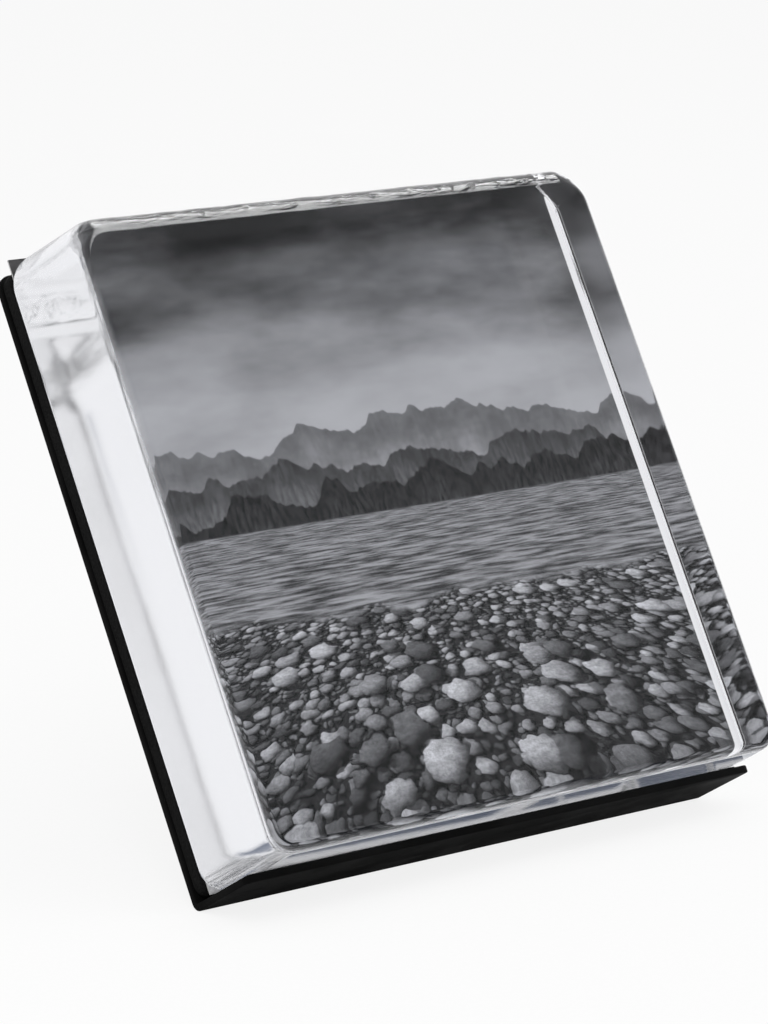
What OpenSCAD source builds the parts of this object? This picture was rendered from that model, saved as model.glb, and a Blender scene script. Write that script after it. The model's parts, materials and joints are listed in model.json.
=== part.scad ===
// Glass photo block leaning on a black L-shaped holder with a folding strut.
// Millimetres, +Z up, the picture faces -Y. The origin is the centre of the base.
// Pieces are drawn upright, with the plate's back on the XZ plane, and then leaned back.

/* [Glass block] */
// How much wider the block's back is than the plate, at each side
glass_over = 1.35; // [0:0.05:3]
// How far the loose block stands to the right of the holder's middle
block_off = 1.25; // [-1.3:0.05:1.3]
// Height of the block at its back face
glass_h = 131.4; // [110:0.1:150]
// Thickness of the block
glass_t = 25.4; // [16:0.1:40]
// How much each side narrows from back to front
side_draft = 1.2; // [0.2:0.1:3]
// How much the top drops from back to front
top_draft = 1.9; // [0.2:0.1:3]
// Radius of the front face's two upper corners
glass_corner = 6.5; // [5:0.5:16]
// Radius of the back face's two upper corners
back_corner = 8; // [2:0.5:12]
// Radius of the block's lower corners, front and back
foot_corner = 5; // [2:0.5:9]
// Radius of the front edges along the foot and the sides
glass_edge = 2.2; // [1:0.1:5]
// Radius of the front edge along the top
top_edge = 4.5; // [1:0.1:5.5]
// Radius of the rounded back edges
back_edge = 1; // [0.4:0.1:1.9]

/* [Picture] */
// Width of the loose print
print_w = 125.5; // [100:0.5:127]
// Height of the loose print
print_h = 131.2; // [100:0.1:140]
// Thickness of the print's card
print_t = 0.4; // [0.2:0.05:1]

/* [Holder] */
// Angle that the holder leans back from upright
lean = 31; // [15:1:40]
// Width of the bent sheet
plate_w = 125.5; // [110:0.5:150]
// Height of the back plate
plate_h = 131.5; // [110:0.5:150]
// Thickness of the bent sheet
plate_t = 1.5; // [1:0.1:3]
// Inside radius of the bend between plate and ledge
bend_in = 0.5; // [0.3:0.1:3]
// Depth of the ledge from the plate's back face
ledge_depth = 20; // [12:0.1:30]
// Radius of the plate's top corners
plate_corner = 3; // [1:0.5:8]
// Radius of the ledge's front corners
ledge_corner = 1.5; // [0.5:0.1:4]
// Thickness of the felted board behind the print
board_t = 3.3; // [1:0.1:6]
// How far the board stays inside the plate's edges
board_inset = 0.4; // [0.2:0.1:3]
// Thickness of the felt on the ledge
felt_t = 0.5; // [0.3:0.1:2]
// How far the felt stays inside the ledge's edges
felt_inset = 2; // [0.3:0.1:4]

/* [Hinge] */
// Height of the hinge pin up the plate
hinge_up = 84; // [60:1:105]
// Diameter of the hinge pin
pin_d = 2; // [1.5:0.1:3]
// Wall of the knuckles around the pin
knuckle_wall = 0.75; // [0.6:0.05:1.5]
// Length of the hinge along its pin
leaf_w = 24; // [18:0.5:32]
// Height of each hinge leaf
leaf_h = 13; // [10:0.5:18]
// Thickness of the hinge leaves
leaf_t = 0.8; // [0.6:0.1:1.2]
// Length of the middle knuckle, on the strut's leaf
mid_knuckle = 9.6; // [6:0.2:12]
// Reach of the tab that stops the strut when it is open
stop_reach = 6; // [4:0.5:8]
// Thickness of the pin's upset heads
pin_head_t = 0.6; // [0.4:0.1:1]
// How far the pin's heads stand out around the pin
pin_head_lip = 0.5; // [0.2:0.05:0.7]

/* [Rivets] */
// Diameter of the rivet shanks
rivet_d = 2; // [1.5:0.1:2.5]
// Distance between the two rivets of a leaf
rivet_pitch = 16; // [12:0.5:20]
// Distance of the rivets from the hinge pin
rivet_off = 8.5; // [6.5:0.1:10]
// Diameter of the domed heads
dome_d = 4; // [3:0.1:5]
// Height of the domed heads
dome_h = 0.9; // [0.5:0.1:1.4]
// Depth of the flush countersunk heads
sink_h = 0.5; // [0.3:0.05:0.6]

/* [Strut] */
// Angle between plate and strut when it is open
strut_open = 50; // [35:1:60]
// Width of the strut at the hinge
strut_top_w = 24; // [18:0.5:36]
// Width of the strut at its foot
strut_foot_w = 28; // [20:0.5:40]
// Thickness of the strut's sheet
strut_t = 1.5; // [1:0.1:3]
// Rubber below the strut's end
foot_sole = 1.5; // [1:0.1:4]
// Rubber walls around the strut's end
foot_wall = 1.2; // [0.8:0.1:3]
// Length of the strut's end that the rubber grips
foot_grip = 7; // [4:0.5:14]

/* [Fits] */
// Air between the print and the glass
glass_gap = 0.1; // [0.05:0.01:0.3]
// Room under the glass and the print
seat_gap = 0.05; // [0.02:0.01:0.2]
// Room around the hinge pin and the rivets
pin_gap = 0.05; // [0.02:0.01:0.1]
// Room between fixed and moving pieces of the hinge
hinge_gap = 0.3; // [0.2:0.05:0.6]
// Room between the stop tab and the fixed leaf
stop_gap = 0.1; // [0.05:0.05:0.3]
// Room between the rubber foot and the strut
foot_gap = 0.05; // [0.02:0.01:0.2]

/* [Hidden] */
$fn = 64;

// The block is a little wider than the plate
glass_w = plate_w + 2 * glass_over;

// Layers in front of the plate's back face
bend_out = plate_t + bend_in;
board_front = plate_t + board_t;
print_front = board_front + print_t;
glass_back = print_front + glass_gap;
glass_front = glass_back + glass_t;
seat_up = plate_t + felt_t + seat_gap;

// Hinge, measured behind the plate
pin_r = pin_d / 2;
knuckle_r = pin_r + knuckle_wall;
pin_back = knuckle_r + hinge_gap;
strut_back = hinge_gap + leaf_t;
knuckle_room = knuckle_r + hinge_gap;
rivet_r = rivet_d / 2;
sink_r = rivet_r + sink_h;

// Where the pin stands once the holder leans, before the origin is moved to the base's centre
drop = bend_out * (sin(lean) + cos(lean) - 1);
pin_y = pin_back * cos(lean) + hinge_up * sin(lean);
pin_z = hinge_up * cos(lean) - pin_back * sin(lean) - drop;

// The strut's end, measured down from the pin so that the rubber sole meets the table
tilt = strut_open - lean;
strut_in = strut_back - pin_back;
strut_out = strut_in + strut_t;
strut_end = (pin_z + strut_in * sin(tilt) - foot_sole) / cos(tilt);
strut_top = knuckle_room;

// The base's front and back, which set the origin
glass_nose = (seat_up + glass_edge) * sin(lean) - (glass_front - glass_edge) * cos(lean) - glass_edge;
foot_heel = pin_y + (strut_out + foot_wall) / cos(tilt) + pin_z * tan(tilt);
plate_heel = plate_h * sin(lean);
print_heel = (seat_up + print_h) * sin(lean) - board_front * cos(lean);
base_mid = (glass_nose + max(foot_heel, plate_heel, print_heel)) / 2;

// Room for cuts that pass right through
over = 1;

module leaning() {
    translate([0, -base_mid, -drop]) rotate([-lean, 0, 0]) children();
}

// The holder and all that it carries, whose middle is beside the loose block's
module holder_side() {
    translate([-block_off, 0, 0]) leaning() children();
}

module swung_open() {
    translate([0, pin_back, hinge_up]) rotate([strut_open, 0, 0]) {
        translate([0, -pin_back, -hinge_up]) children();
    }
}

// A profile of depth (Y) and height (Z), drawn along X
module along_x(w) {
    rotate([90, 0, 90]) translate([0, 0, -w / 2]) linear_extrude(w) children();
}

// An outline in front view (X and Z), drawn from y0 back to y1
module along_y(y0, y1) {
    translate([0, y1, 0]) rotate([90, 0, 0]) linear_extrude(y1 - y0) children();
}

module rounded_outline(w, h, r) {
    translate([-w / 2 + r, 0]) square([w - 2 * r, h]);
    translate([-w / 2, r]) square([w, h - 2 * r]);
    for (x = [-w / 2 + r, w / 2 - r], y = [r, h - r]) {
        translate([x, y]) circle(r);
    }
}

// Two rings, at the block's left and right, whose outside rounds its corners and its edges
module glass_rings(y, half_w, up, corner, edge) {
    for (x = [-half_w + corner, half_w - corner]) {
        translate([x, y, up]) rotate([90, 0, 0]) rotate_extrude($fn = 32) intersection() {
            translate([corner - edge, 0]) circle(edge, $fn = 32);
            translate([0, -edge]) square([corner, 2 * edge]);
        }
    }
}

module glass_block() {
    back_half = glass_w / 2;
    front_half = back_half - side_draft;
    top = seat_up + glass_h;
    foot = seat_up + foot_corner;
    shoulder = top - glass_corner - max(0, top_edge - glass_edge);
    color([0.88, 0.93, 0.94, 0.5]) leaning() hull() {
        glass_rings(-glass_back - back_edge, back_half, foot, foot_corner, back_edge);
        glass_rings(-glass_back - back_edge, back_half, top - back_corner, back_corner, back_edge);
        glass_rings(-glass_front + glass_edge, front_half, foot, foot_corner, glass_edge);
        translate([0, 0, -top_draft]) {
            glass_rings(-glass_front + top_edge, front_half, top - glass_corner, glass_corner, top_edge);
            glass_rings(-glass_front + glass_edge, front_half, shoulder, glass_corner, glass_edge);
        }
    }
}

module photo_print() {
    color([0.35, 0.35, 0.36]) leaning() translate([-print_w / 2, -print_front, seat_up]) {
        cube([print_w, print_t, print_h]);
    }
}

module backing_board() {
    board_w = plate_w - 2 * board_inset;
    board_h = plate_h - board_inset - bend_out;
    color([0.02, 0.02, 0.025]) holder_side() translate([0, 0, bend_out]) {
        along_y(-board_front, -plate_t) rounded_outline(board_w, board_h, plate_corner);
    }
}

module sheet_profile() {
    translate([-plate_t, bend_out]) square([plate_t, plate_h - bend_out]);
    translate([-ledge_depth, 0]) square([ledge_depth - bend_out, plate_t]);
    intersection() {
        translate([-bend_out, bend_out]) difference() {
            circle(bend_out);
            circle(bend_in);
        }
        translate([-bend_out, 0]) square(bend_out);
    }
}

module holder() {
    tall = plate_h + 2 * plate_corner;
    deep = ledge_depth + 2 * ledge_corner;
    color([0.05, 0.05, 0.055]) holder_side() difference() {
        intersection() {
            along_x(plate_w) sheet_profile();
            translate([0, 0, plate_h - tall]) along_y(-ledge_depth - over, over) {
                rounded_outline(plate_w, tall, plate_corner);
            }
            translate([0, -ledge_depth, -over]) linear_extrude(plate_h + 2 * over) {
                rounded_outline(plate_w, deep, ledge_corner);
            }
        }
        at_rivets(hinge_up + rivet_off) translate([0, -plate_t, 0]) rivet_hole(plate_t);
    }
}

module ledge_felt() {
    felt_w = plate_w - 2 * felt_inset;
    felt_d = ledge_depth - felt_inset - board_front;
    color([0.03, 0.03, 0.03]) holder_side() {
        translate([-felt_w / 2, -board_front - felt_d, plate_t]) cube([felt_w, felt_d, felt_t]);
    }
}

// Children at both rivets of a leaf, at a height up the plate
module at_rivets(up) {
    for (x = [-rivet_pitch / 2, rivet_pitch / 2]) {
        translate([x, 0, up]) children();
    }
}

// Turns something drawn upwards so that it points backwards
module backwards() {
    rotate([-90, 0, 0]) children();
}

// Hole for a rivet whose flush head is at y = 0
module rivet_hole(grip) {
    backwards() {
        translate([0, 0, -over]) cylinder(h = grip + 2 * over, r = rivet_r + pin_gap);
        cylinder(h = sink_h, r1 = sink_r + pin_gap, r2 = rivet_r + pin_gap);
    }
}

// Rivet through a stack of sheets, with a flush head at y = 0 and a dome beyond the stack
module rivet(grip) {
    dome_r = (dome_d * dome_d / 4 + dome_h * dome_h) / (2 * dome_h);
    backwards() {
        cylinder(h = grip, r = rivet_r);
        cylinder(h = sink_h, r1 = sink_r, r2 = rivet_r);
        intersection() {
            translate([0, 0, grip + dome_h - dome_r]) sphere(dome_r);
            translate([0, 0, grip]) cylinder(h = 2 * dome_h, r = dome_d);
        }
    }
}

// A length of the hinge's barrel between x0 and x1
module barrel(x0, x1, r) {
    translate([x0, pin_back, hinge_up]) rotate([0, 90, 0]) cylinder(h = x1 - x0, r = r);
}

module hinge_leaf() {
    notch = mid_knuckle + 2 * hinge_gap;
    color([0.09, 0.09, 0.1]) holder_side() difference() {
        union() {
            translate([-leaf_w / 2, 0, hinge_up]) cube([leaf_w, leaf_t, leaf_h]);
            barrel(-leaf_w / 2, -notch / 2, knuckle_r);
            barrel(notch / 2, leaf_w / 2, knuckle_r);
        }
        translate([-notch / 2, -over, hinge_up - over]) {
            cube([notch, leaf_t + 2 * over, knuckle_room + over]);
        }
        barrel(-leaf_w / 2 - over, leaf_w / 2 + over, pin_r + pin_gap);
        at_rivets(hinge_up + rivet_off) translate([0, -plate_t, 0]) rivet_hole(plate_t + leaf_t);
    }
}

module strut_leaf() {
    tab_y = leaf_t + stop_gap;
    color([0.09, 0.09, 0.1]) holder_side() difference() {
        union() {
            swung_open() difference() {
                translate([-leaf_w / 2, hinge_gap, hinge_up - leaf_h]) cube([leaf_w, leaf_t, leaf_h]);
                for (x = [-leaf_w / 2 - over, mid_knuckle / 2]) {
                    translate([x, 0, hinge_up - knuckle_room]) {
                        cube([(leaf_w - mid_knuckle) / 2 + over, strut_back + over, knuckle_room + over]);
                    }
                }
            }
            barrel(-mid_knuckle / 2, mid_knuckle / 2, knuckle_r);
            translate([-mid_knuckle / 2, tab_y, hinge_up]) cube([mid_knuckle, leaf_t, stop_reach]);
        }
        barrel(-leaf_w, leaf_w, pin_r + pin_gap);
        swung_open() at_rivets(hinge_up - rivet_off) {
            translate([0, hinge_gap, 0]) rivet_hole(leaf_t + strut_t);
        }
    }
}

module hinge_pin() {
    head_x = leaf_w / 2 + pin_gap;
    color([0.6, 0.6, 0.62]) holder_side() {
        barrel(-head_x, head_x, pin_r);
        barrel(-head_x - pin_head_t, -head_x, pin_r + pin_head_lip);
        barrel(head_x, head_x + pin_head_t, pin_r + pin_head_lip);
    }
}

module holder_rivets() {
    color([0.6, 0.6, 0.62]) holder_side() at_rivets(hinge_up + rivet_off) {
        translate([0, -plate_t, 0]) rivet(plate_t + leaf_t);
    }
}

module strut_rivets() {
    color([0.6, 0.6, 0.62]) holder_side() swung_open() at_rivets(hinge_up - rivet_off) {
        translate([0, hinge_gap, 0]) rivet(leaf_t + strut_t);
    }
}

// The strut's outline, hanging from the pin, with grow added all round
module strut_outline(grow) {
    top_half = strut_top_w / 2 + grow;
    foot_half = strut_foot_w / 2 + grow;
    polygon([
        [-top_half, hinge_up - strut_top + grow],
        [top_half, hinge_up - strut_top + grow],
        [foot_half, hinge_up - strut_end - grow],
        [-foot_half, hinge_up - strut_end - grow]
    ]);
}

module strut() {
    color([0.05, 0.05, 0.055]) holder_side() swung_open() difference() {
        along_y(strut_back, strut_back + strut_t) strut_outline(0);
        at_rivets(hinge_up - rivet_off) translate([0, hinge_gap, 0]) rivet_hole(leaf_t + strut_t);
    }
}

module strut_foot() {
    cap_w = strut_foot_w + 2 * foot_wall;
    cap_t = strut_t + 2 * foot_wall;
    below = 2 * foot_sole + cap_t;
    table = 2 * plate_h;
    color([0.04, 0.04, 0.04]) intersection() {
        holder_side() swung_open() difference() {
            translate([-cap_w / 2, strut_back - foot_wall, hinge_up - strut_end - below]) {
                cube([cap_w, cap_t, below + foot_grip]);
            }
            along_y(strut_back - foot_gap, strut_back + strut_t + foot_gap) strut_outline(foot_gap);
        }
        translate([-table / 2, -table / 2, 0]) cube(table);
    }
}

glass_block();
photo_print();
backing_board();
holder();
ledge_felt();
hinge_leaf();
strut_leaf();
hinge_pin();
holder_rivets();
strut_rivets();
strut();
strut_foot();
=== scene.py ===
import json
from math import atan, atan2, degrees, pi, radians

import bmesh
import bpy
from mathutils import Matrix, Vector


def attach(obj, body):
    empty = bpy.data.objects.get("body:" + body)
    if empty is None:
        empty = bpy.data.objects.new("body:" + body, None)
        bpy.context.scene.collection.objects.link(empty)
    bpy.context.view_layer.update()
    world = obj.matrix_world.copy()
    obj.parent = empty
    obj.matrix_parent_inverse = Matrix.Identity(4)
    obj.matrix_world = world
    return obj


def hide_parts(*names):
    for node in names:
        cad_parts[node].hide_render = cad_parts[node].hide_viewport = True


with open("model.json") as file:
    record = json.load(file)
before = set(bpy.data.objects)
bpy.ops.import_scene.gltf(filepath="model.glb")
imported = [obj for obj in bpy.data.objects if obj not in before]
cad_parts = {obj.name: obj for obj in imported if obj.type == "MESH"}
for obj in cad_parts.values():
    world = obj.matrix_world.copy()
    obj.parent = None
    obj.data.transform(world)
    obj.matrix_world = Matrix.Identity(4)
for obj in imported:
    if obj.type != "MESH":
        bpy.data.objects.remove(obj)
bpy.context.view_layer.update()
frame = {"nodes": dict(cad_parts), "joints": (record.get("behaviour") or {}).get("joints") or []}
print("frame loaded:", ", ".join(sorted(frame["nodes"])))

# the glass slides square off the picture, so its slide gives the holder's lean
joints = {joint["name"]: joint for joint in frame["joints"]}
liftAxis = joints["glass_lift"]["axis"]
leanBack = atan2(liftAxis[2], -liftAxis[1])
# the strut's own slope comes from its largest face, and the hinge pin from the joint
strutFace = max(frame["nodes"]["strut"].data.polygons, key=lambda f: f.area).normal
strutTurn = -atan(strutFace.z / strutFace.y)
pinSpot = Vector(joints["strut_fold"]["pos_m"])

near = 1e-5  # points this close lie in the same place
facing = 0.9  # a face whose normal has this much of an axis looks along it


# small helpers for modelling by hand

def stand(spot, turn):
    # a point of the object, turned about X until its piece stands square
    return Matrix.Rotation(turn, 3, "X") @ Vector(spot)


def turnedBox(node, turn):
    # corners of a CAD node that is turned to stand square
    spots = [stand(v.co, turn) for v in frame["nodes"][node].data.vertices]
    return Vector(map(min, zip(*spots))), Vector(map(max, zip(*spots)))


def only(piece):
    # makes one object the selected and active one
    bpy.ops.object.select_all(action="DESELECT")
    piece.select_set(True)
    bpy.context.view_layer.objects.active = piece


def edit(piece):
    only(piece)
    bpy.ops.object.mode_set(mode="EDIT")
    bpy.ops.mesh.select_all(action="SELECT")


def done():
    bpy.ops.object.mode_set(mode="OBJECT")


def middle(part):
    # of an edge or a face
    if isinstance(part, bmesh.types.BMEdge):
        return (part.verts[0].co + part.verts[1].co) / 2
    return part.calc_center_median()


def pick(kind, test):
    # selects the VERT, EDGE or FACE parts of the mesh in edit mode that pass a test
    bpy.ops.mesh.select_mode(type=kind)
    bpy.ops.mesh.select_all(action="DESELECT")
    data = bpy.context.edit_object.data
    mesh = bmesh.from_edit_mesh(data)
    parts = {"VERT": mesh.verts, "EDGE": mesh.edges, "FACE": mesh.faces}[kind]
    for part in parts:
        if test(part):
            part.select_set(True)
    mesh.select_flush_mode()
    bmesh.update_edit_mesh(data)


def named(piece, name):
    piece.name = piece.data.name = name
    return piece


def applyPlace():
    # puts the selected object's place, turn and size into its mesh
    bpy.ops.object.transform_apply(location=True, rotation=True, scale=True)


def addCube(name, low, high):
    bpy.ops.object.select_all(action="DESELECT")
    bpy.ops.mesh.primitive_cube_add(size=1, location=(low + high) / 2)
    piece = named(bpy.context.object, name)
    piece.scale = high - low
    applyPlace()
    return piece


def addSheet(name, low, high, y):
    # a flat standing plane between two corners, for bent and cut sheet metal
    bpy.ops.object.select_all(action="DESELECT")
    where = ((low.x + high.x) / 2, y, (low.z + high.z) / 2)
    bpy.ops.mesh.primitive_plane_add(size=1, location=where, rotation=(pi / 2, 0, 0))
    piece = named(bpy.context.object, name)
    piece.scale = (high.x - low.x, high.z - low.z, 1)
    applyPlace()
    return piece


def slide(x, y, z):
    bpy.ops.mesh.extrude_region_move(TRANSFORM_OT_translate={"value": (x, y, z)})


def roll(spot, angle, steps=20):
    # carries the selected edges round an axis along X
    bpy.ops.mesh.spin(steps=steps, angle=angle, center=spot, axis=(1, 0, 0))


def cutAcross(spot, normal):
    # a straight cut right through the mesh in edit mode
    bpy.ops.mesh.select_all(action="SELECT")
    bpy.ops.mesh.bisect(plane_co=spot, plane_no=normal)


def roundCorners(test, radius, segments=6):
    # rounds the corner points of a flat sheet that pass a test
    pick("VERT", test)
    bpy.ops.mesh.bevel(offset=radius, segments=segments, affect="VERTICES")


def useModifier(piece, kind, **settings):
    # adds a modifier, sets it and applies it
    only(piece)
    modifier = piece.modifiers.new(kind.title(), kind)
    for key, value in settings.items():
        setattr(modifier, key, value)
    bpy.ops.object.modifier_apply(modifier=modifier.name)


def softenEdges(piece, width, segments=3):
    useModifier(
        piece, "BEVEL", width=width, segments=segments, limit_method="ANGLE", angle_limit=radians(50),
    )


def thicken(piece, sheet, edgeRound):
    # merges a bent sheet, gives it its wall and rounds the cut edges
    edit(piece)
    bpy.ops.mesh.remove_doubles(threshold=1e-6)
    bpy.ops.mesh.normals_make_consistent(inside=False)
    done()
    useModifier(piece, "SOLIDIFY", thickness=sheet, offset=0, use_even_offset=True)
    softenEdges(piece, edgeRound)


def unturn(piece, turn):
    # from standing square back to its real slope
    only(piece)
    piece.rotation_euler.x = -turn
    applyPlace()


def joinPieces(pieces):
    only(pieces[0])
    for piece in pieces[1:]:
        piece.select_set(True)
    bpy.ops.object.join()
    return pieces[0]


def settle(piece, body, node, smoothAngle=35):
    # shades a finished piece and ties it to the CAD
    only(piece)
    bpy.ops.object.shade_smooth_by_angle(angle=radians(smoothAngle))
    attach(piece, body)
    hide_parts(node)
    print("piece:", piece.name, len(piece.data.polygons), "faces")


# small helpers for materials

def addNode(tree, kind, inputs=None, **settings):
    node = tree.nodes.new("ShaderNode" + kind)
    for key, value in settings.items():
        setattr(node, key, value)
    for key, value in (inputs or {}).items():
        if isinstance(value, bpy.types.NodeSocket):
            tree.links.new(value, node.inputs[key])
        else:
            node.inputs[key].default_value = value
    return node


def maths(tree, operation, *values, clamp=False):
    inputs = dict(enumerate(values))
    return addNode(tree, "Math", inputs, operation=operation, use_clamp=clamp).outputs[0]


def times(tree, first, second):
    return maths(tree, "MULTIPLY", first, second)


def ramp(tree, value, low, high, toLow=0.0, toHigh=1.0):
    # a value's passage from low to high, eased at both ends
    inputs = {"Value": value, "From Min": low, "From Max": high, "To Min": toLow, "To Max": toHigh}
    return addNode(tree, "MapRange", inputs, interpolation_type="SMOOTHSTEP", clamp=True).outputs[0]


def between(tree, share, first, second):
    # first where share is 0, second where it is 1
    inputs = {"Factor": share, "A": first, "B": second}
    return addNode(tree, "Mix", inputs, data_type="FLOAT").outputs[0]


def vector(tree, x, y, z):
    return addNode(tree, "CombineXYZ", {"X": x, "Y": y, "Z": z}).outputs[0]


def vectorMaths(tree, operation, inputs, output=0):
    return addNode(tree, "VectorMath", inputs, operation=operation).outputs[output]


def axes(tree, value):
    # the X, Y and Z of a vector
    return addNode(tree, "SeparateXYZ", {0: value}).outputs


def newMaterial(name, sockets):
    # a material whose shader has these plain values
    material = bpy.data.materials.new(name)
    material.use_nodes = True
    tree = material.node_tree
    shader = tree.nodes["Principled BSDF"]
    for key, value in sockets.items():
        shader.inputs[key].default_value = value
    return material, tree, shader


def addGroup(tree, group, **inputs):
    node = addNode(tree, "Group", node_tree=group)
    for key, value in inputs.items():
        node.inputs[key].default_value = value
    return node.outputs["Value"]


def newGroup(name, **inputs):
    # a node group with number inputs and one output, Value
    group = bpy.data.node_groups.new(name, "ShaderNodeTree")
    for key, value in inputs.items():
        socket = group.interface.new_socket(key, in_out="INPUT", socket_type="NodeSocketFloat")
        socket.default_value = value
    group.interface.new_socket("Value", in_out="OUTPUT", socket_type="NodeSocketFloat")
    return group, group.nodes.new("NodeGroupInput").outputs, group.nodes.new("NodeGroupOutput").inputs


def fineGrainGroup():
    # even fine noise between two levels, for most finishes
    group, given, result = newGroup("fineGrain", Scale=1000, Detail=3, Low=0, High=1)
    place = addNode(group, "TexCoord").outputs["Object"]
    noise = addNode(group, "TexNoise", {"Vector": place, "Scale": given["Scale"], "Detail": given["Detail"]})
    level = ramp(group, noise.outputs["Fac"], 0.3, 0.7, given["Low"], given["High"])
    group.links.new(level, result["Value"])
    return group


def softMarksGroup():
    # broad uneven patches, as handling leaves on a finish
    group, given, result = newGroup("softMarks", Scale=30, Low=0, High=1)
    place = addNode(group, "TexCoord").outputs["Object"]
    inputs = {"Vector": place, "Scale": given["Scale"], "Detail": 4, "Distortion": 0.6}
    noise = addNode(group, "TexNoise", inputs)
    level = ramp(group, noise.outputs["Fac"], 0.35, 0.65, given["Low"], given["High"])
    group.links.new(level, result["Value"])
    return group


fineGrain = fineGrainGroup()
softMarks = softMarksGroup()


def tintedGrey(tree, level, tint=(1, 1, 1)):
    # a grey level as a colour, leaning a little to one side
    shares = {i: level if t == 1 else times(tree, level, t) for i, t in enumerate(tint)}
    return addNode(tree, "CombineColor", shares).outputs[0]


def addBump(tree, shader, height, strength, distance):
    bump = addNode(tree, "Bump", {"Height": height, "Strength": strength, "Distance": distance})
    tree.links.new(bump.outputs["Normal"], shader.inputs["Normal"])


# glass block

glass = {
    "frontCorner": 0.0065,  # upper corners of the front face
    "backCorner": 0.008,  # upper corners of the back face
    "footCorner": 0.005,
    "topEdge": 0.0045,
    "frontEdge": 0.0022,
    "backEdge": 0.001,
    "sideDraft": 0.0012,
    "topDraft": 0.0019,
    "gridStep": 0.0016,
    "waveDepth": 0.00004,  # slow waves all over, from casting
    "waveSize": 0.026,
    "flatBack": 0.002,  # no waves this close to the back
    "rippleDepth": 0.00025,  # quick ripples along the fire-polished top edge
    "rippleSize": 0.0035,
    "rippleStart": 0.3,  # share of the top edge's radius below which there are none
    "swirlDepth": 0.00036,  # small swirls from fire polishing, along the front of the top edge
    "swirlStretch": (0.35, 1, 1),
    "swirlHeight": (0.0005, 0.002),  # they come in between these heights above the nose
    "swirlReach": (-0.001, 0.0005),  # and go out between these depths behind it
    "tint": (0.875, 0.882, 0.912, 1),
    "lampTint": (0.95, 0.955, 0.96, 1),
    "mirrorTint": (0.35, 0.35, 0.35, 1),
}


def clearGlass(nose):
    # the nose is the middle of the top edge's rounding
    sockets = {
        "Base Color": glass["tint"], "Roughness": 0.05, "IOR": 1.52, "Transmission Weight": 1,
        "Specular Tint": glass["mirrorTint"],
    }
    material, tree, shader = newMaterial("clearGlass", sockets)
    place = addNode(tree, "TexCoord").outputs["Object"]
    inputs = {"Vector": place, "Rotation": (-leanBack, 0, 0)}
    square = addNode(tree, "Mapping", inputs, vector_type="TEXTURE").outputs[0]
    side = axes(tree, square)
    above = ramp(tree, side["Z"], *(nose.z + height for height in glass["swirlHeight"]))
    before = ramp(tree, side["Y"], *(nose.y + depth for depth in glass["swirlReach"]), 1, 0)
    along = vectorMaths(tree, "MULTIPLY", {0: square, 1: glass["swirlStretch"]})
    inputs = {"Vector": along, "Scale": 600, "Detail": 2, "Distortion": 1.2}
    swirls = addNode(tree, "TexNoise", inputs).outputs["Fac"]
    addBump(tree, shader, times(tree, swirls, times(tree, above, before)), 1, glass["swirlDepth"])
    # lamps reach the picture straight through the block
    path = addNode(tree, "LightPath").outputs
    lampRay = maths(tree, "MAXIMUM", path["Is Shadow Ray"], path["Is Diffuse Ray"])
    clear = addNode(tree, "BsdfTransparent", {"Color": glass["lampTint"]})
    mix = addNode(tree, "MixShader", {0: lampRay, 1: shader.outputs[0], 2: clear.outputs[0]})
    tree.links.new(mix.outputs[0], tree.nodes["Material Output"].inputs["Surface"])
    return material


def addRings(y, low, high, z, corner, edge):
    # a ring at each side, whose outside rounds the block's corners and its edges
    rings = []
    for x in (low.x + corner, high.x - corner):
        bpy.ops.mesh.primitive_torus_add(
            location=(x, y, z), rotation=(pi / 2, 0, 0), major_segments=48, minor_segments=32,
            major_radius=corner - edge, minor_radius=edge,
        )
        rings.append(bpy.context.object)
    return rings


def wavy(piece, name, size, depth, test):
    # presses a cloudy texture into the points that pass a test
    group = piece.vertex_groups.new(name=name)
    group.add([v.index for v in piece.data.vertices if test(v.co)], 1, "REPLACE")
    clouds = bpy.data.textures.new(name, "CLOUDS")
    clouds.noise_scale = size
    useModifier(
        piece, "DISPLACE", texture=clouds, texture_coords="LOCAL", mid_level=1, strength=depth,
        vertex_group=name,
    )


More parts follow.
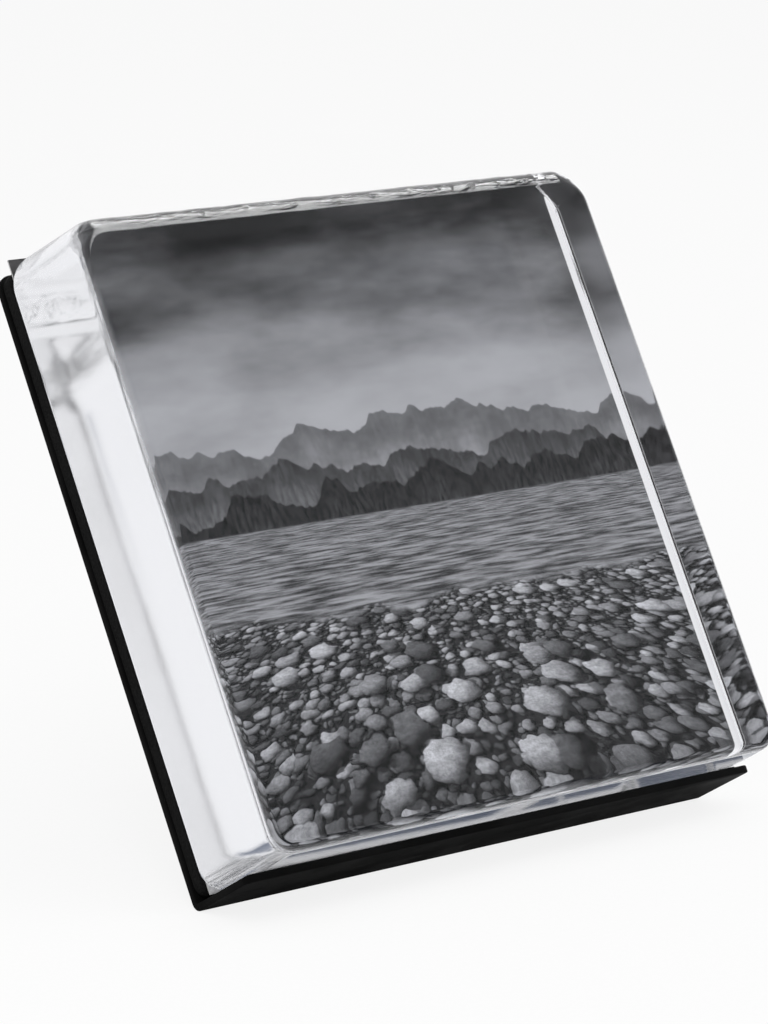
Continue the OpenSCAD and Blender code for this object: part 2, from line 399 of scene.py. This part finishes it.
def glassBlock():
    low, high = turnedBox("glass_block", leanBack)
    frontLow = low + Vector((glass["sideDraft"], 0, 0))
    frontHigh = high - Vector((glass["sideDraft"], 0, glass["topDraft"]))
    corner, backCorner, footCorner = glass["frontCorner"], glass["backCorner"], glass["footCorner"]
    edge, topEdge, backEdge = glass["frontEdge"], glass["topEdge"], glass["backEdge"]
    footZ = low.z + footCorner
    bpy.ops.object.select_all(action="DESELECT")
    rings = addRings(high.y - backEdge, low, high, footZ, footCorner, backEdge)
    rings += addRings(high.y - backEdge, low, high, high.z - backCorner, backCorner, backEdge)
    rings += addRings(low.y + edge, frontLow, frontHigh, footZ, footCorner, edge)
    # the sides keep the small edge up to the shoulder, above which the top edge is larger
    shoulder = frontHigh.z - corner
    rings += addRings(low.y + topEdge, frontLow, frontHigh, shoulder, corner, topEdge)
    rings += addRings(low.y + edge, frontLow, frontHigh, shoulder - topEdge + edge, corner, edge)
    piece = named(joinPieces(rings), "glassBlock")
    applyPlace()
    edit(piece)
    bpy.ops.mesh.convex_hull(join_triangles=True)
    bpy.ops.mesh.select_all(action="SELECT")
    bpy.ops.mesh.dissolve_limited(angle_limit=radians(0.3))
    bpy.ops.mesh.select_all(action="SELECT")
    bpy.ops.mesh.normals_make_consistent(inside=False)
    # a grid of cuts gives the waves points to move
    for axis in range(3):
        steps = round((high[axis] - low[axis]) / glass["gridStep"])
        normal = Vector((axis == 0, axis == 1, axis == 2))
        for step in range(1, steps):
            cutAcross(normal * (low[axis] + (high[axis] - low[axis]) * step / steps), normal)
    done()
    waveEnd = high.y - glass["flatBack"]
    wavy(piece, "castWaves", glass["waveSize"], glass["waveDepth"], lambda p: p.y < waveEnd)
    nose = Vector((0, low.y + topEdge, frontHigh.z - topEdge))
    rippleFoot = nose.z + topEdge * glass["rippleStart"]
    wavy(piece, "topRipples", glass["rippleSize"], glass["rippleDepth"],
         lambda p: p.y < nose.y and p.z > rippleFoot)
    piece.data.materials.append(clearGlass(nose))
    unturn(piece, leanBack)
    settle(piece, "glass", "glass_block", smoothAngle=60)


# loose print

picture = {
    "cardEdge": 0.00008,
    "tint": (1, 1, 1.03),
    # places are shares of the picture, from its lower left corner
    "horizon": 0.57,
    "vanishing": 0.42,
    "nearest": 0.02,  # to the horizon that the level ground is drawn
    "softLine": 0.002,
    # noises: scale across, scale up, seed
    "banks": (2.4, 6.5, 3.1),
    "waves": (2.2, 7, 1.7),
    "bendAcross": (9, 9, 5.2),
    "bendUp": (9, 9, 7.7),
    "speckle": (80, 80, 9.4),
    "veins": (15, 24, 2.9),
    "woods": (14, 22),  # these two take the seed of their ridge
    "trees": (150, 45),
    # ramps: from, to, level at from, level at to
    "skyTones": (-0.16, 0.36, 0.012, 0.5),
    "woodTones": (0.3, 0.75, 0.75, 1.2),
    "lakeTones": (0.34, 0.68, 0.04, 0.42),
    "speckleTones": (0.25, 0.75, 0.7, 1.25),
    "veinTones": (0.3, 0.7, 0.75, 1.2),
    "litSide": (-0.3, 1.05, 0.1, 1.15),
    "stoneRim": (0.92, 1, 1, 0),
    "shadow": (0.85, 1.3, 0.2, 1),
    # sky
    "bankLift": 0.62,
    # ridges, each nearer and darker: seed, scale, rise, base, tones of crest and mist, trees
    "ridges": (
        (2.7, 3.1, 0.20, 0.02, 0.16, 0.34, 0.08),
        (8.3, 4.3, 0.17, -0.03, 0.06, 0.22, 0.3),
        (15.9, 5.7, 0.16, -0.065, 0.02, 0.07, 0.7),
    ),
    "ridgeSink": 0.25,  # share of the rise
    "mistDepth": 0.13,
    # lake and its two shores
    "farShore": 0.07,  # below the horizon
    "shore": 0.36,
    "shoreLine": (7, 4.4),  # scale and seed
    "shoreRise": 0.07,
    "shoreBlur": 0.012,
    # layers of stones, from below: scale, share of the places that hold one, darkest and palest grey
    "stones": ((24, 1.0, 0.05, 0.26), (11, 0.85, 0.1, 0.5), (5.2, 0.45, 0.12, 0.6)),
    "stoneLight": (-0.52, 0.5, 0.69),
    "stoneRadius": (0.3, 0.26),  # least, and what chance adds
    "stoneDepth": 0.6,
    "bend": 0.1,
    "layerShift": 3.7,
    "shadowFall": 0.45,
    "grit": 0.03,  # grey between the stones
}


def cloud(tree, x, y, pattern, detail=6, rough=0.55):
    # soft noise over two directions
    scaleX, scaleY, seed = pattern
    spot = vector(tree, times(tree, x, scaleX), times(tree, y, scaleY), seed)
    inputs = {"Vector": spot, "Scale": 1, "Detail": detail, "Roughness": rough}
    return addNode(tree, "TexNoise", inputs).outputs["Fac"]


def crookedLine(tree, u, scale, seed):
    # heights of a line along the picture
    along = maths(tree, "MULTIPLY_ADD", u, scale, seed)
    inputs = {"W": along, "Scale": 1, "Detail": 5, "Roughness": 0.55}
    return addNode(tree, "TexNoise", inputs, noise_dimensions="1D").outputs["Fac"]


def shifted(tree, value, noise, reach):
    # a value moved to and fro by a noise
    return maths(tree, "ADD", value, maths(tree, "MULTIPLY_ADD", noise, reach, -reach / 2))


def cloudySky(tree, u, v, height):
    # dark above and pale low down, with long banks of cloud
    banks = cloud(tree, u, v, picture["banks"])
    lift = maths(tree, "MULTIPLY_ADD", banks, picture["bankLift"], times(tree, height, -1))
    return ramp(tree, lift, *picture["skyTones"])


def addRidge(tree, u, v, height, tone, seed, scale, rise, base, crest, mist, wood):
    # a wooded ridge in front of the tone so far
    foot = base - rise * picture["ridgeSink"]
    top = maths(tree, "MULTIPLY_ADD", crookedLine(tree, u, scale, seed), rise, foot)
    below = maths(tree, "SUBTRACT", top, height)
    woods = cloud(tree, u, v, (*picture["woods"], seed), 4)
    trees = cloud(tree, u, v, (*picture["trees"], seed), 3, 0.6)
    shade = ramp(tree, below, 0, picture["mistDepth"], crest, mist)
    shade = times(tree, shade, ramp(tree, woods, *picture["woodTones"]))
    shade = times(tree, shade, ramp(tree, trees, 0.3, 0.7, 1 - wood, 1 + wood))
    softLine = picture["softLine"]
    return between(tree, ramp(tree, below, -softLine, softLine), tone, shade)


def levelGround(tree, u, height, tone):
    # the lake and then the stones, seen in perspective
    depth = maths(tree, "MAXIMUM", times(tree, height, -1), picture["nearest"])
    across = maths(tree, "DIVIDE", maths(tree, "SUBTRACT", u, picture["vanishing"]), depth)
    away = maths(tree, "DIVIDE", 1, depth)
    waves = cloud(tree, across, away, picture["waves"], 5, 0.6)
    lake = ramp(tree, waves, *picture["lakeTones"])
    farShore, softLine = picture["farShore"], picture["softLine"]
    tone = between(tree, ramp(tree, depth, farShore - softLine, farShore + softLine), tone, lake)
    rise = picture["shoreRise"]
    start = picture["horizon"] - picture["shore"] - rise / 2
    edge = maths(tree, "MULTIPLY_ADD", crookedLine(tree, u, *picture["shoreLine"]), rise, start)
    beach = ramp(tree, maths(tree, "SUBTRACT", depth, edge), 0, picture["shoreBlur"])
    return between(tree, beach, tone, pebbles(tree, across, away))


def pebbles(tree, across, away):
    # layers of rounded stones with speckles and veins
    up = times(tree, away, picture["stoneDepth"])
    x = shifted(tree, across, cloud(tree, across, up, picture["bendAcross"], 3), picture["bend"])
    y = shifted(tree, up, cloud(tree, across, up, picture["bendUp"], 3), picture["bend"])
    speckle = ramp(tree, cloud(tree, across, up, picture["speckle"], 4, 0.7), *picture["speckleTones"])
    veins = ramp(tree, cloud(tree, across, up, picture["veins"], 5, 0.6), *picture["veinTones"])
    grain = times(tree, speckle, veins)
    tone = picture["grit"]
    for layer, stones in enumerate(picture["stones"]):
        spot = vector(tree, maths(tree, "ADD", x, layer * picture["layerShift"]), y, 0)
        tone = stoneLayer(tree, spot, tone, grain, *stones)
    return tone


def stoneLayer(tree, spot, below, grain, scale, share, dark, pale):
    # stones over the tone below, lit from the upper left, each with its own grey
    inputs = {"Vector": spot, "Scale": scale, "Randomness": 0.75}
    cells = addNode(tree, "TexVoronoi", inputs, voronoi_dimensions="2D").outputs
    chance = addNode(tree, "SeparateColor", {0: cells["Color"]}).outputs
    least, spread = picture["stoneRadius"]
    radius = maths(tree, "MULTIPLY_ADD", chance[1], spread, least)
    offset = vectorMaths(tree, "SUBTRACT", {0: spot, 1: cells["Position"]})
    offset = vectorMaths(tree, "SCALE", {0: offset, "Scale": maths(tree, "DIVIDE", scale, radius)})
    inside = vectorMaths(tree, "LENGTH", {0: offset}, "Value")
    rise = maths(tree, "SQRT", maths(tree, "SUBTRACT", 1, times(tree, inside, inside), clamp=True))
    side = axes(tree, offset)
    lightX, lightY, lightZ = picture["stoneLight"]
    sideways = maths(tree, "MULTIPLY_ADD", side["X"], lightX, times(tree, side["Y"], lightY))
    lit = ramp(tree, maths(tree, "MULTIPLY_ADD", rise, lightZ, sideways), *picture["litSide"])
    there = maths(tree, "LESS_THAN", chance[2], share)
    cover = times(tree, there, ramp(tree, inside, *picture["stoneRim"]))
    # the stone's shadow falls to its lower right
    fall = maths(tree, "MULTIPLY_ADD", sideways, picture["shadowFall"], inside)
    shadow = between(tree, there, 1, ramp(tree, fall, *picture["shadow"]))
    grey = ramp(tree, chance[0], 0, 1, dark, pale)
    stone = times(tree, times(tree, grey, lit), grain)
    return between(tree, cover, times(tree, shadow, below), stone)


def pictureFace(low, high):
    # a made-up grey landscape: low cloud, hills, a lake and a pebble shore
    material, tree, shader = newMaterial("pictureFace", {"Specular IOR Level": 0.05})
    place = addNode(tree, "TexCoord").outputs["Object"]
    corner = stand(low, -leanBack)
    size = (high.x - low.x, 1, high.z - low.z)
    inputs = {"Vector": place, "Location": corner, "Rotation": (-leanBack, 0, 0), "Scale": size}
    side = axes(tree, addNode(tree, "Mapping", inputs, vector_type="TEXTURE").outputs[0])
    u, v = side["X"], side["Z"]
    height = maths(tree, "SUBTRACT", v, picture["horizon"])
    tone = cloudySky(tree, u, v, height)
    for ridge in picture["ridges"]:
        tone = addRidge(tree, u, v, height, tone, *ridge)
    tone = levelGround(tree, u, height, tone)
    tree.links.new(tintedGrey(tree, tone, picture["tint"]), shader.inputs["Base Color"])
    tree.links.new(addGroup(tree, softMarks, Scale=60, Low=0.55, High=0.7), shader.inputs["Roughness"])
    return material


def paperCard():
    material, tree, shader = newMaterial("paperCard", {"Roughness": 0.8})
    fibre = addGroup(tree, fineGrain, Scale=2600, Detail=4, Low=0.42, High=0.5)
    tree.links.new(tintedGrey(tree, fibre), shader.inputs["Base Color"])
    addBump(tree, shader, fibre, 0.3, 0.0001)
    return material


def photoPrint():
    low, high = turnedBox("photo_print", leanBack)
    piece = addCube("photoPrint", low, high)
    softenEdges(piece, picture["cardEdge"], segments=2)
    piece.data.materials.append(paperCard())
    piece.data.materials.append(pictureFace(low, high))
    edit(piece)
    pick("FACE", lambda f: f.normal.y < -facing)
    piece.active_material_index = 1
    bpy.ops.object.material_slot_assign()
    done()
    unturn(piece, leanBack)
    settle(piece, "print", "photo_print", smoothAngle=30)


# black holder: bent sheet, backing board and ledge felt

holder = {
    "sheet": 0.0015,
    "bendOut": 0.002,
    "plateCorner": 0.003,
    "ledgeCorner": 0.0015,
    "edgeRound": 0.00025,
    "boardEdge": 0.0005,
    "feltEdge": 0.00015,
}


def blackCoat():
    # satin powder coat
    material, tree, shader = newMaterial("blackCoat", {"Specular IOR Level": 0.02})
    marks = addGroup(tree, softMarks, Scale=45, Low=0.004, High=0.007)
    tree.links.new(tintedGrey(tree, marks), shader.inputs["Base Color"])
    tree.links.new(addGroup(tree, softMarks, Scale=85, Low=0.55, High=0.7), shader.inputs["Roughness"])
    addBump(tree, shader, addGroup(tree, fineGrain, Scale=2200, Detail=2), 0.35, 0.00004)
    return material


def blackFelt():
    material, tree, shader = newMaterial("blackFelt", {"Roughness": 0.95, "Specular IOR Level": 0.1})
    wool = addGroup(tree, fineGrain, Scale=3000, Detail=6, Low=0.003, High=0.010)
    tree.links.new(tintedGrey(tree, wool), shader.inputs["Base Color"])
    addBump(tree, shader, addGroup(tree, fineGrain, Scale=1800, Detail=6), 0.6, 0.0002)
    return material


coat = blackCoat()
felt = blackFelt()


def bentHolder():
    # a flat plate whose foot is bent forward into the ledge
    low, high = turnedBox("holder", leanBack)
    sheet, bendOut = holder["sheet"], holder["bendOut"]
    bend = Vector((0, high.y - bendOut, low.z + bendOut))
    piece = addSheet("bentHolder", low + Vector((0, 0, bendOut)), high, high.y - sheet / 2)
    edit(piece)
    roundCorners(lambda v: v.co.z > high.z - near, holder["plateCorner"], segments=8)
    pick("EDGE", lambda e: middle(e).z < bend.z + near)
    roll(bend, pi / 2, steps=8)
    pick("EDGE", lambda e: abs(middle(e).y - bend.y) < near and middle(e).z < bend.z)
    slide(0, low.y - bend.y, 0)
    roundCorners(lambda v: v.co.y < low.y + near, holder["ledgeCorner"])
    done()
    thicken(piece, sheet, holder["edgeRound"])
    piece.data.materials.append(coat)
    unturn(piece, leanBack)
    settle(piece, "holder", "holder")


def backingBoard():
    low, high = turnedBox("backing_board", leanBack)
    piece = addCube("backingBoard", low, high)
    edit(piece)
    pick("EDGE", lambda e: abs(e.verts[0].co.y - e.verts[1].co.y) > near)
    bpy.ops.mesh.bevel(offset=holder["plateCorner"], segments=8)
    done()
    softenEdges(piece, holder["boardEdge"])
    piece.data.materials.append(felt)
    unturn(piece, leanBack)
    settle(piece, "holder", "backing_board")


def ledgeFelt():
    low, high = turnedBox("ledge_felt", leanBack)
    piece = addCube("ledgeFelt", low, high)
    softenEdges(piece, holder["feltEdge"], segments=2)
    piece.data.materials.append(felt)
    unturn(piece, leanBack)
    settle(piece, "holder", "ledge_felt")


# hinge and rivets

hinge = {
    "sheet": 0.0007,
    "rollRadius": 0.0014,  # middle of the rolled sheet
    "wrap": radians(312),
    "room": 0.00205,  # from the pin to the leaves' cut edges
    "notch": 0.0102,
    "tongue": 0.0096,
    "leafCorner": 0.0014,
    "jog": 0.0007,
    "tabInset": 0.0013,  # from the pin's axis to the stop tab's front face, towards the plate
    "tabFoot": 0.6,  # share of the roll's radius above the pin, where the tab starts
    "edgeRound": 0.00012,
    "pinLip": 0.0005,
    "pinHead": 0.0006,
    "pinEdge": 0.00022,
    "rivetHead": 0.0009,
    "rivetRadius": 0.002,
    "rivetDome": 0.88,  # share of the head's height that is domed
    "rivetEdge": 0.0001,
    "shankRadius": 0.001,
}


def blackOxide():
    material, tree, shader = newMaterial("blackOxide", {"Metallic": 0.7})
    marks = addGroup(tree, softMarks, Scale=220, Low=0.018, High=0.04)
    tree.links.new(tintedGrey(tree, marks, (1, 1, 1.08)), shader.inputs["Base Color"])
    tree.links.new(addGroup(tree, softMarks, Scale=300, Low=0.38, High=0.6), shader.inputs["Roughness"])
    addBump(tree, shader, addGroup(tree, fineGrain, Scale=5000, Detail=3), 0.25, 0.00003)
    return material


def plainSteel():
    material, tree, shader = newMaterial("plainSteel", {"Metallic": 1})
    marks = addGroup(tree, softMarks, Scale=500, Low=0.5, High=0.62)
    tree.links.new(tintedGrey(tree, marks, (1, 1, 1.02)), shader.inputs["Base Color"])
    tree.links.new(addGroup(tree, fineGrain, Scale=4000, Low=0.25, High=0.42), shader.inputs["Roughness"])
    addBump(tree, shader, addGroup(tree, fineGrain, Scale=7000, Detail=2), 0.2, 0.00002)
    return material


oxide = blackOxide()
steel = plainSteel()


def cutBeside(x, half):
    # two upright cuts, left and right of a middle
    for spot in (x - half, x + half):
        cutAcross((spot, 0, 0), (1, 0, 0))


def fixedLeaf():
    # a flat leaf whose two ends are rolled round the pin
    low, high = turnedBox("hinge_leaf", leanBack)
    pin = stand(pinSpot, leanBack)
    sheet, radius, half = hinge["sheet"], hinge["rollRadius"], hinge["notch"] / 2
    flatY, rollY = low.y + sheet / 2, pin.y - radius
    cut = pin.z + hinge["room"]
    piece = addSheet("fixedLeaf", Vector((low.x, 0, cut)), high, flatY)
    edit(piece)
    roundCorners(lambda v: v.co.z > high.z - near, hinge["leafCorner"])
    cutBeside(pin.x, half)
    pick("EDGE", lambda e: abs(middle(e).x - pin.x) > half and middle(e).z < cut + near)
    slide(0, rollY - flatY, pin.z + hinge["jog"] - cut)
    slide(0, 0, -hinge["jog"])
    roll(pin, -hinge["wrap"])
    done()
    thicken(piece, sheet, hinge["edgeRound"])
    piece.data.materials.append(oxide)
    unturn(piece, leanBack)
    settle(piece, "holder", "hinge_leaf")


def stopTab():
    # the lug that meets the fixed leaf and stops the strut when it is open
    high = turnedBox("strut_leaf", leanBack)[1]
    pin = stand(pinSpot, leanBack)
    half = hinge["tongue"] / 2
    front = pin.y - hinge["tabInset"] + hinge["sheet"] / 2
    foot = Vector((pin.x - half, 0, pin.z + hinge["rollRadius"] * hinge["tabFoot"]))
    piece = addSheet("stopTab", foot, Vector((pin.x + half, 0, high.z)), front)
    edit(piece)
    roundCorners(lambda v: v.co.z > high.z - near, hinge["leafCorner"])
    done()
    thicken(piece, hinge["sheet"], hinge["edgeRound"])
    unturn(piece, leanBack)
    return piece


def movingLeaf():
    # the strut's leaf, with a tongue that is rolled round the pin
    low, high = turnedBox("strut_leaf", strutTurn)
    pin = stand(pinSpot, strutTurn)
    half = hinge["tongue"] / 2
    cut = pin.z - hinge["room"]
    flatY = pin.y - hinge["rollRadius"]
    piece = addSheet("movingLeaf", low, Vector((high.x, 0, cut)), flatY)
    edit(piece)
    roundCorners(lambda v: v.co.z < low.z + near, hinge["leafCorner"])
    cutBeside(pin.x, half)
    pick("EDGE", lambda e: abs(middle(e).x - pin.x) < half and middle(e).z > cut - near)
    slide(0, 0, hinge["room"])
    roll(pin, hinge["wrap"])
    done()
    thicken(piece, hinge["sheet"], hinge["edgeRound"])
    unturn(piece, strutTurn)
    joinPieces([piece, stopTab()])
    piece.data.materials.append(oxide)
    settle(piece, "strut", "strut_leaf")


def hingePin():
    # a round pin with both ends upset into low heads
    low, high = turnedBox("hinge_pin", leanBack)
    pin = stand(pinSpot, leanBack)
    length = high.x - low.x - 2 * hinge["pinHead"]
    radius = (high.z - low.z) / 2 - hinge["pinLip"]
    grow = 1 + hinge["pinLip"] / radius
    bpy.ops.object.select_all(action="DESELECT")
    bpy.ops.mesh.primitive_cylinder_add(
        vertices=32, radius=radius, depth=length, location=pin, rotation=(0, pi / 2, 0),
    )
    piece = named(bpy.context.object, "hingePin")
    applyPlace()
    edit(piece)
    for side in (-1, 1):
        pick("FACE", lambda f: f.normal.x * side > facing)
        slide(0, 0, 0)
        bpy.ops.transform.resize(value=(1, grow, grow), center_override=pin)
        slide(side * hinge["pinHead"], 0, 0)
    done()
    softenEdges(piece, hinge["pinEdge"])
    piece.data.materials.append(steel)
    unturn(piece, leanBack)
    settle(piece, "holder", "hinge_pin")


def rivet(x, front, back, z):
    # domed at the back, with a shank that runs forward through the sheets
    head, radius, shank = hinge["rivetHead"], hinge["rivetRadius"], hinge["shankRadius"]
    bpy.ops.object.select_all(action="DESELECT")
    where = (x, back - head / 2, z)
    bpy.ops.mesh.primitive_cylinder_add(
        vertices=40, radius=radius, depth=head, location=where, rotation=(pi / 2, 0, 0),
    )
    piece = bpy.context.object
    applyPlace()
    edit(piece)
    pick("FACE", lambda f: f.normal.y < -facing)
    bpy.ops.mesh.inset(thickness=radius - shank)
    slide(0, front - (back - head), 0)
    pick("FACE", lambda f: f.normal.y > facing)
    bpy.ops.mesh.bevel(offset=head * hinge["rivetDome"], segments=7)
    done()
    softenEdges(piece, hinge["rivetEdge"], segments=2)
    return piece


def rivetPair(name, node, body, turn):
    low, high = turnedBox(node, turn)
    spots = (low.x + hinge["rivetRadius"], high.x - hinge["rivetRadius"])
    z = (low.z + high.z) / 2
    piece = named(joinPieces([rivet(x, low.y, high.y, z) for x in spots]), name)
    piece.data.materials.append(steel)
    unturn(piece, turn)
    settle(piece, body, node, smoothAngle=50)


# strut and its rubber foot

strut = {
    "topCorner": 0.002,
    "edgeRound": 0.0003,
    "grooves": (0.0022, 0.0040, 0.0058),  # below the rubber's mouth
    "grooveWidth": 0.0008,
    "grooveDepth": 0.00035,
    "footEdge": 0.00015,
}


def blackRubber():
    material, tree, shader = newMaterial("blackRubber", {"Specular IOR Level": 0.3})
    dust = addGroup(tree, softMarks, Scale=260, Low=0.010, High=0.022)
    tree.links.new(tintedGrey(tree, dust), shader.inputs["Base Color"])
    tree.links.new(addGroup(tree, fineGrain, Scale=2400, Low=0.7, High=0.9), shader.inputs["Roughness"])
    addBump(tree, shader, addGroup(tree, fineGrain, Scale=3500, Detail=3), 0.4, 0.00006)
    return material


def foldingStrut():
    # a flat leg that narrows towards the hinge
    low, high = turnedBox("strut", strutTurn)

    def atTop(point):
        return point.co.z > high.z - near

    spots = [stand(v.co, strutTurn) for v in frame["nodes"]["strut"].data.vertices]
    topRight = max(p.x for p in spots if p.z > high.z - near)
    narrow = (topRight - pinSpot.x) / (high.x - pinSpot.x)
    piece = addSheet("foldingStrut", low, high, (low.y + high.y) / 2)
    edit(piece)
    pick("VERT", atTop)
    bpy.ops.transform.resize(value=(narrow, 1, 1), center_override=(pinSpot.x, 0, high.z))
    roundCorners(atTop, strut["topCorner"])
    done()
    thicken(piece, high.y - low.y, strut["edgeRound"])
    piece.data.materials.append(coat)
    unturn(piece, strutTurn)
    settle(piece, "strut", "strut")


def rubberFoot():
    # a grooved cap pushed onto the strut's end, cut level with the table
    low, high = turnedBox("strut_foot", strutTurn)
    piece = addCube("rubberFoot", low, high)
    edit(piece)
    table = stand((0, 0, 1), strutTurn)
    bpy.ops.mesh.bisect(plane_co=(0, 0, 0), plane_no=table, clear_inner=True, use_fill=True)
    width = strut["grooveWidth"]
    grooveTops = [high.z - drop for drop in strut["grooves"]]
    for z in grooveTops:
        cutAcross((0, 0, z), (0, 0, 1))
        cutAcross((0, 0, z - width), (0, 0, 1))

    def inGroove(face):
        upright = abs(face.normal.z) < 1 - facing
        return upright and min(abs(middle(face).z - (z - width / 2)) for z in grooveTops) < near

    pick("FACE", inGroove)
    bpy.ops.mesh.extrude_region_shrink_fatten(
        TRANSFORM_OT_shrink_fatten={"value": -strut["grooveDepth"], "use_even_offset": True},
    )
    done()
    softenEdges(piece, strut["footEdge"], segments=2)
    piece.data.materials.append(blackRubber())
    unturn(piece, strutTurn)
    settle(piece, "strut", "strut_foot")


# studio

studio = {
    "cameraSpot": (-0.4837, -0.63665, 0.2407),
    "cameraAim": (0.58964, 0.77848, -0.21515),
    "lens": 144.35,
    "sensor": 36,
    "floorSize": 40,
    # far floor reads white, less so through the glass and least in reflections, which show the shadow
    "floorGlow": (("Is Camera Ray", 0.85), ("Is Transmission Ray", 0.7), ("Is Glossy Ray", 0.2)),
    "roomLight": 0.62,
    # ramps of the room over the direction of view: from, to, level at from, level at to
    "darkWall": (-0.45, 0.1, 0.2, 1),
    "panelFoot": (0.71, 0.77, 0, 15),
    "panelSide": (0.2, 0.4, 0, 1),
    "gapFoot": (0.54, 0.58, 0, 1),
    "gapFront": (-0.53, -0.5, 0, 1),
    "gapBack": (-0.35, -0.25, 1, 0),
    "gapColour": (0.16, 0.185, 0.25, 1),
    # lamps: name, place, size, power
    "lamps": (("keyLamp", (-0.9, -0.8, 1.3), 1.0, 12), ("fillLamp", (1.2, -0.5, 0.9), 1.0, 5)),
    "lampAim": (0, 0, 0.06),
    "bounces": 32,
    "glassBounces": 24,
}
white = (1, 1, 1, 1)


def photoCamera():
    camera = bpy.data.cameras.new("photoCamera")
    camera.lens = studio["lens"]
    camera.sensor_width = studio["sensor"]
    camera.clip_start, camera.clip_end = 0.01, 100
    view = bpy.data.objects.new("photoCamera", camera)
    view.location = studio["cameraSpot"]
    view.rotation_mode = "QUATERNION"
    view.rotation_quaternion = Vector(studio["cameraAim"]).to_track_quat("-Z", "Y")
    bpy.context.scene.collection.objects.link(view)
    bpy.context.scene.camera = view


def paleFloor():
    material, tree, shader = newMaterial("paleFloor", {"Roughness": 0.9, "Specular IOR Level": 0})
    speck = addGroup(tree, fineGrain, Scale=900, Detail=2, Low=0.86, High=0.9)
    tree.links.new(tintedGrey(tree, speck), shader.inputs["Base Color"])
    glow = addNode(tree, "Emission", {"Color": white, "Strength": 1})
    path = addNode(tree, "LightPath").outputs
    share = 0
    for ray, level in studio["floorGlow"]:
        share = maths(tree, "MAXIMUM", share, times(tree, path[ray], level))
    mix = addNode(tree, "MixShader", {0: share, 1: shader.outputs[0], 2: glow.outputs[0]})
    tree.links.new(mix.outputs[0], tree.nodes["Material Output"].inputs["Surface"])
    return material


def addFloor():
    bpy.ops.object.select_all(action="DESELECT")
    bpy.ops.mesh.primitive_plane_add(size=studio["floorSize"])
    floor = named(bpy.context.object, "floor")
    floor.data.materials.append(paleFloor())


def addWorld():
    world = bpy.data.worlds.new("whiteRoom")
    bpy.context.scene.world = world
    world.use_nodes = True
    tree = world.node_tree
    tree.nodes.clear()
    room = addNode(tree, "Background", {"Color": white, "Strength": studio["roomLight"]})
    way = axes(tree, addNode(tree, "TexCoord").outputs["Generated"])
    path = addNode(tree, "LightPath").outputs
    mirror = maths(tree, "SUBTRACT", path["Is Glossy Ray"], path["Is Transmission Ray"], clamp=True)
    # in reflections the room is dark on the camera's side and has a bright panel high up on the right
    wall = ramp(tree, way["Y"], *studio["darkWall"])
    panel = ramp(tree, way["Z"], *studio["panelFoot"])
    panel = times(tree, panel, ramp(tree, way["X"], *studio["panelSide"]))
    level = between(tree, mirror, 1, maths(tree, "ADD", wall, panel))
    # through the glass a blue-grey gap shows high up in front
    gap = ramp(tree, way["Z"], *studio["gapFoot"])
    for edge in ("gapFront", "gapBack"):
        gap = times(tree, gap, ramp(tree, way["Y"], *studio[edge]))
    gap = maths(tree, "SUBTRACT", gap, mirror, clamp=True)
    tint = addNode(tree, "Mix", {0: gap, 6: white, 7: studio["gapColour"]}, data_type="RGBA")
    shown = addNode(tree, "Background", {"Color": tint.outputs[2], "Strength": level})
    # this room shows to the camera, in reflections and through glass, and the plain one gives the light
    seen = maths(tree, "MAXIMUM", path["Is Glossy Ray"], path["Is Transmission Ray"])
    seen = maths(tree, "MAXIMUM", path["Is Camera Ray"], seen)
    mix = addNode(tree, "MixShader", {0: seen, 1: room.outputs[0], 2: shown.outputs[0]})
    out = addNode(tree, "OutputWorld")
    tree.links.new(mix.outputs[0], out.inputs["Surface"])


def addLamp(name, spot, size, power):
    lamp = bpy.data.lights.new(name, "AREA")
    lamp.shape, lamp.size, lamp.energy = "SQUARE", size, power
    place = bpy.data.objects.new(name, lamp)
    place.location = spot
    place.rotation_mode = "QUATERNION"
    place.rotation_quaternion = (Vector(studio["lampAim"]) - Vector(spot)).to_track_quat("-Z", "Y")
    place.visible_glossy = place.visible_transmission = False
    bpy.context.scene.collection.objects.link(place)


photoCamera()
addWorld()
addFloor()
for lampFacts in studio["lamps"]:
    addLamp(*lampFacts)
scene = bpy.context.scene
scene.view_settings.view_transform = "Standard"
# light bounces many times inside the block before it leaves
scene.cycles.max_bounces = studio["bounces"]
scene.cycles.glossy_bounces = scene.cycles.transmission_bounces = studio["glassBounces"]
print("studio: camera, floor, world and two lamps; lean", round(degrees(leanBack), 2))

glassBlock()
photoPrint()
bentHolder()
backingBoard()
ledgeFelt()
print("holder, print and glass done")
fixedLeaf()
movingLeaf()
hingePin()
rivetPair("holderRivets", "holder_rivets", "holder", leanBack)
rivetPair("strutRivets", "strut_rivets", "strut", strutTurn)
foldingStrut()
rubberFoot()
print("hinge and strut done")
